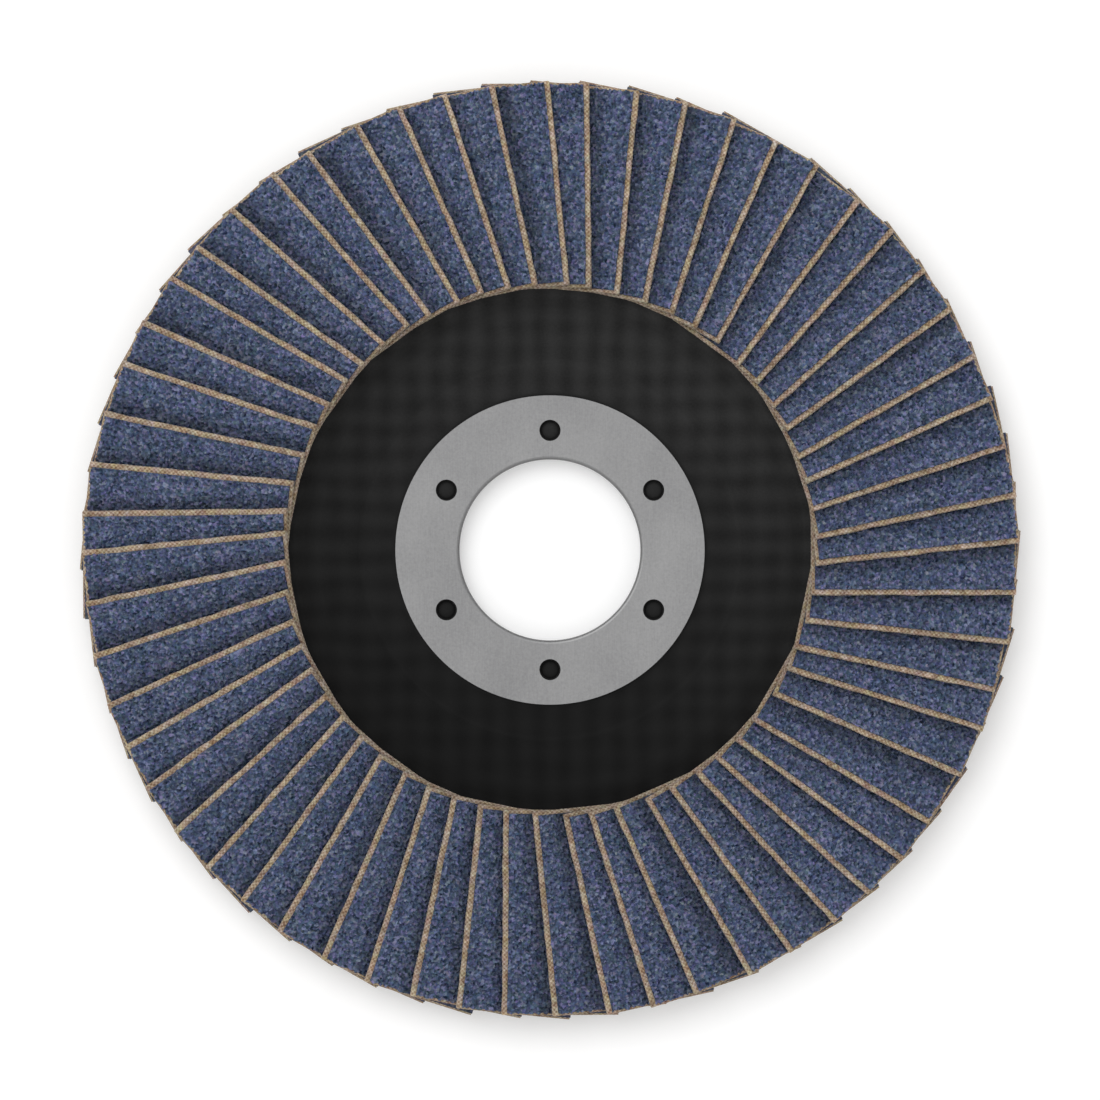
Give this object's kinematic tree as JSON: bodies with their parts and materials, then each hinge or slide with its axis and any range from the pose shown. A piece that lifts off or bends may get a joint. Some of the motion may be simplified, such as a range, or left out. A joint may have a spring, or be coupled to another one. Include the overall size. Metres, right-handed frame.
{
  "type": "flap disc",
  "caption": "Round abrasive disc: overlapping coated-cloth flaps glued to a dished conical glass-fibre plate, with a pressed steel ring lining its arbor bore.",
  "frame": {"origin": "centre of the arbor bore, on the back face of the hub", "axes": "+Z along the bore towards the abrasive side; one free flap edge runs parallel to +X"},
  "size_m": [0.115, 0.115, 0.0135],
  "materials": {
    "glass_fibre_plate": "dull black moulded phenolic resin over woven glass cloth",
    "ring_steel": "satin pressed sheet steel",
    "cured_adhesive": "brown cured epoxy",
    "abrasive_cloth": "blue-grey zirconia grain in resin on tan polyester-cotton cloth"
  },
  "bodies": {
    "root": {"backing_plate": "glass_fibre_plate", "centre_ring": "ring_steel", "adhesive_bed": "cured_adhesive", "flap_pair_01": "abrasive_cloth", "flap_pair_02": "abrasive_cloth", "flap_pair_03": "abrasive_cloth", "flap_pair_04": "abrasive_cloth", "flap_pair_05": "abrasive_cloth", "flap_pair_06": "abrasive_cloth", "flap_pair_07": "abrasive_cloth", "flap_pair_08": "abrasive_cloth", "flap_pair_09": "abrasive_cloth", "flap_pair_10": "abrasive_cloth", "flap_pair_11": "abrasive_cloth", "flap_pair_12": "abrasive_cloth", "flap_pair_13": "abrasive_cloth", "flap_pair_14": "abrasive_cloth", "flap_pair_15": "abrasive_cloth", "flap_pair_16": "abrasive_cloth", "flap_pair_17": "abrasive_cloth", "flap_pair_18": "abrasive_cloth", "flap_pair_19": "abrasive_cloth", "flap_pair_20": "abrasive_cloth", "flap_pair_21": "abrasive_cloth", "flap_pair_22": "abrasive_cloth", "flap_pair_23": "abrasive_cloth", "flap_pair_24": "abrasive_cloth", "flap_pair_25": "abrasive_cloth", "flap_pair_26": "abrasive_cloth", "flap_pair_27": "abrasive_cloth", "flap_pair_28": "abrasive_cloth", "flap_pair_29": "abrasive_cloth", "flap_pair_30": "abrasive_cloth"}
  },
  "joints": []
}
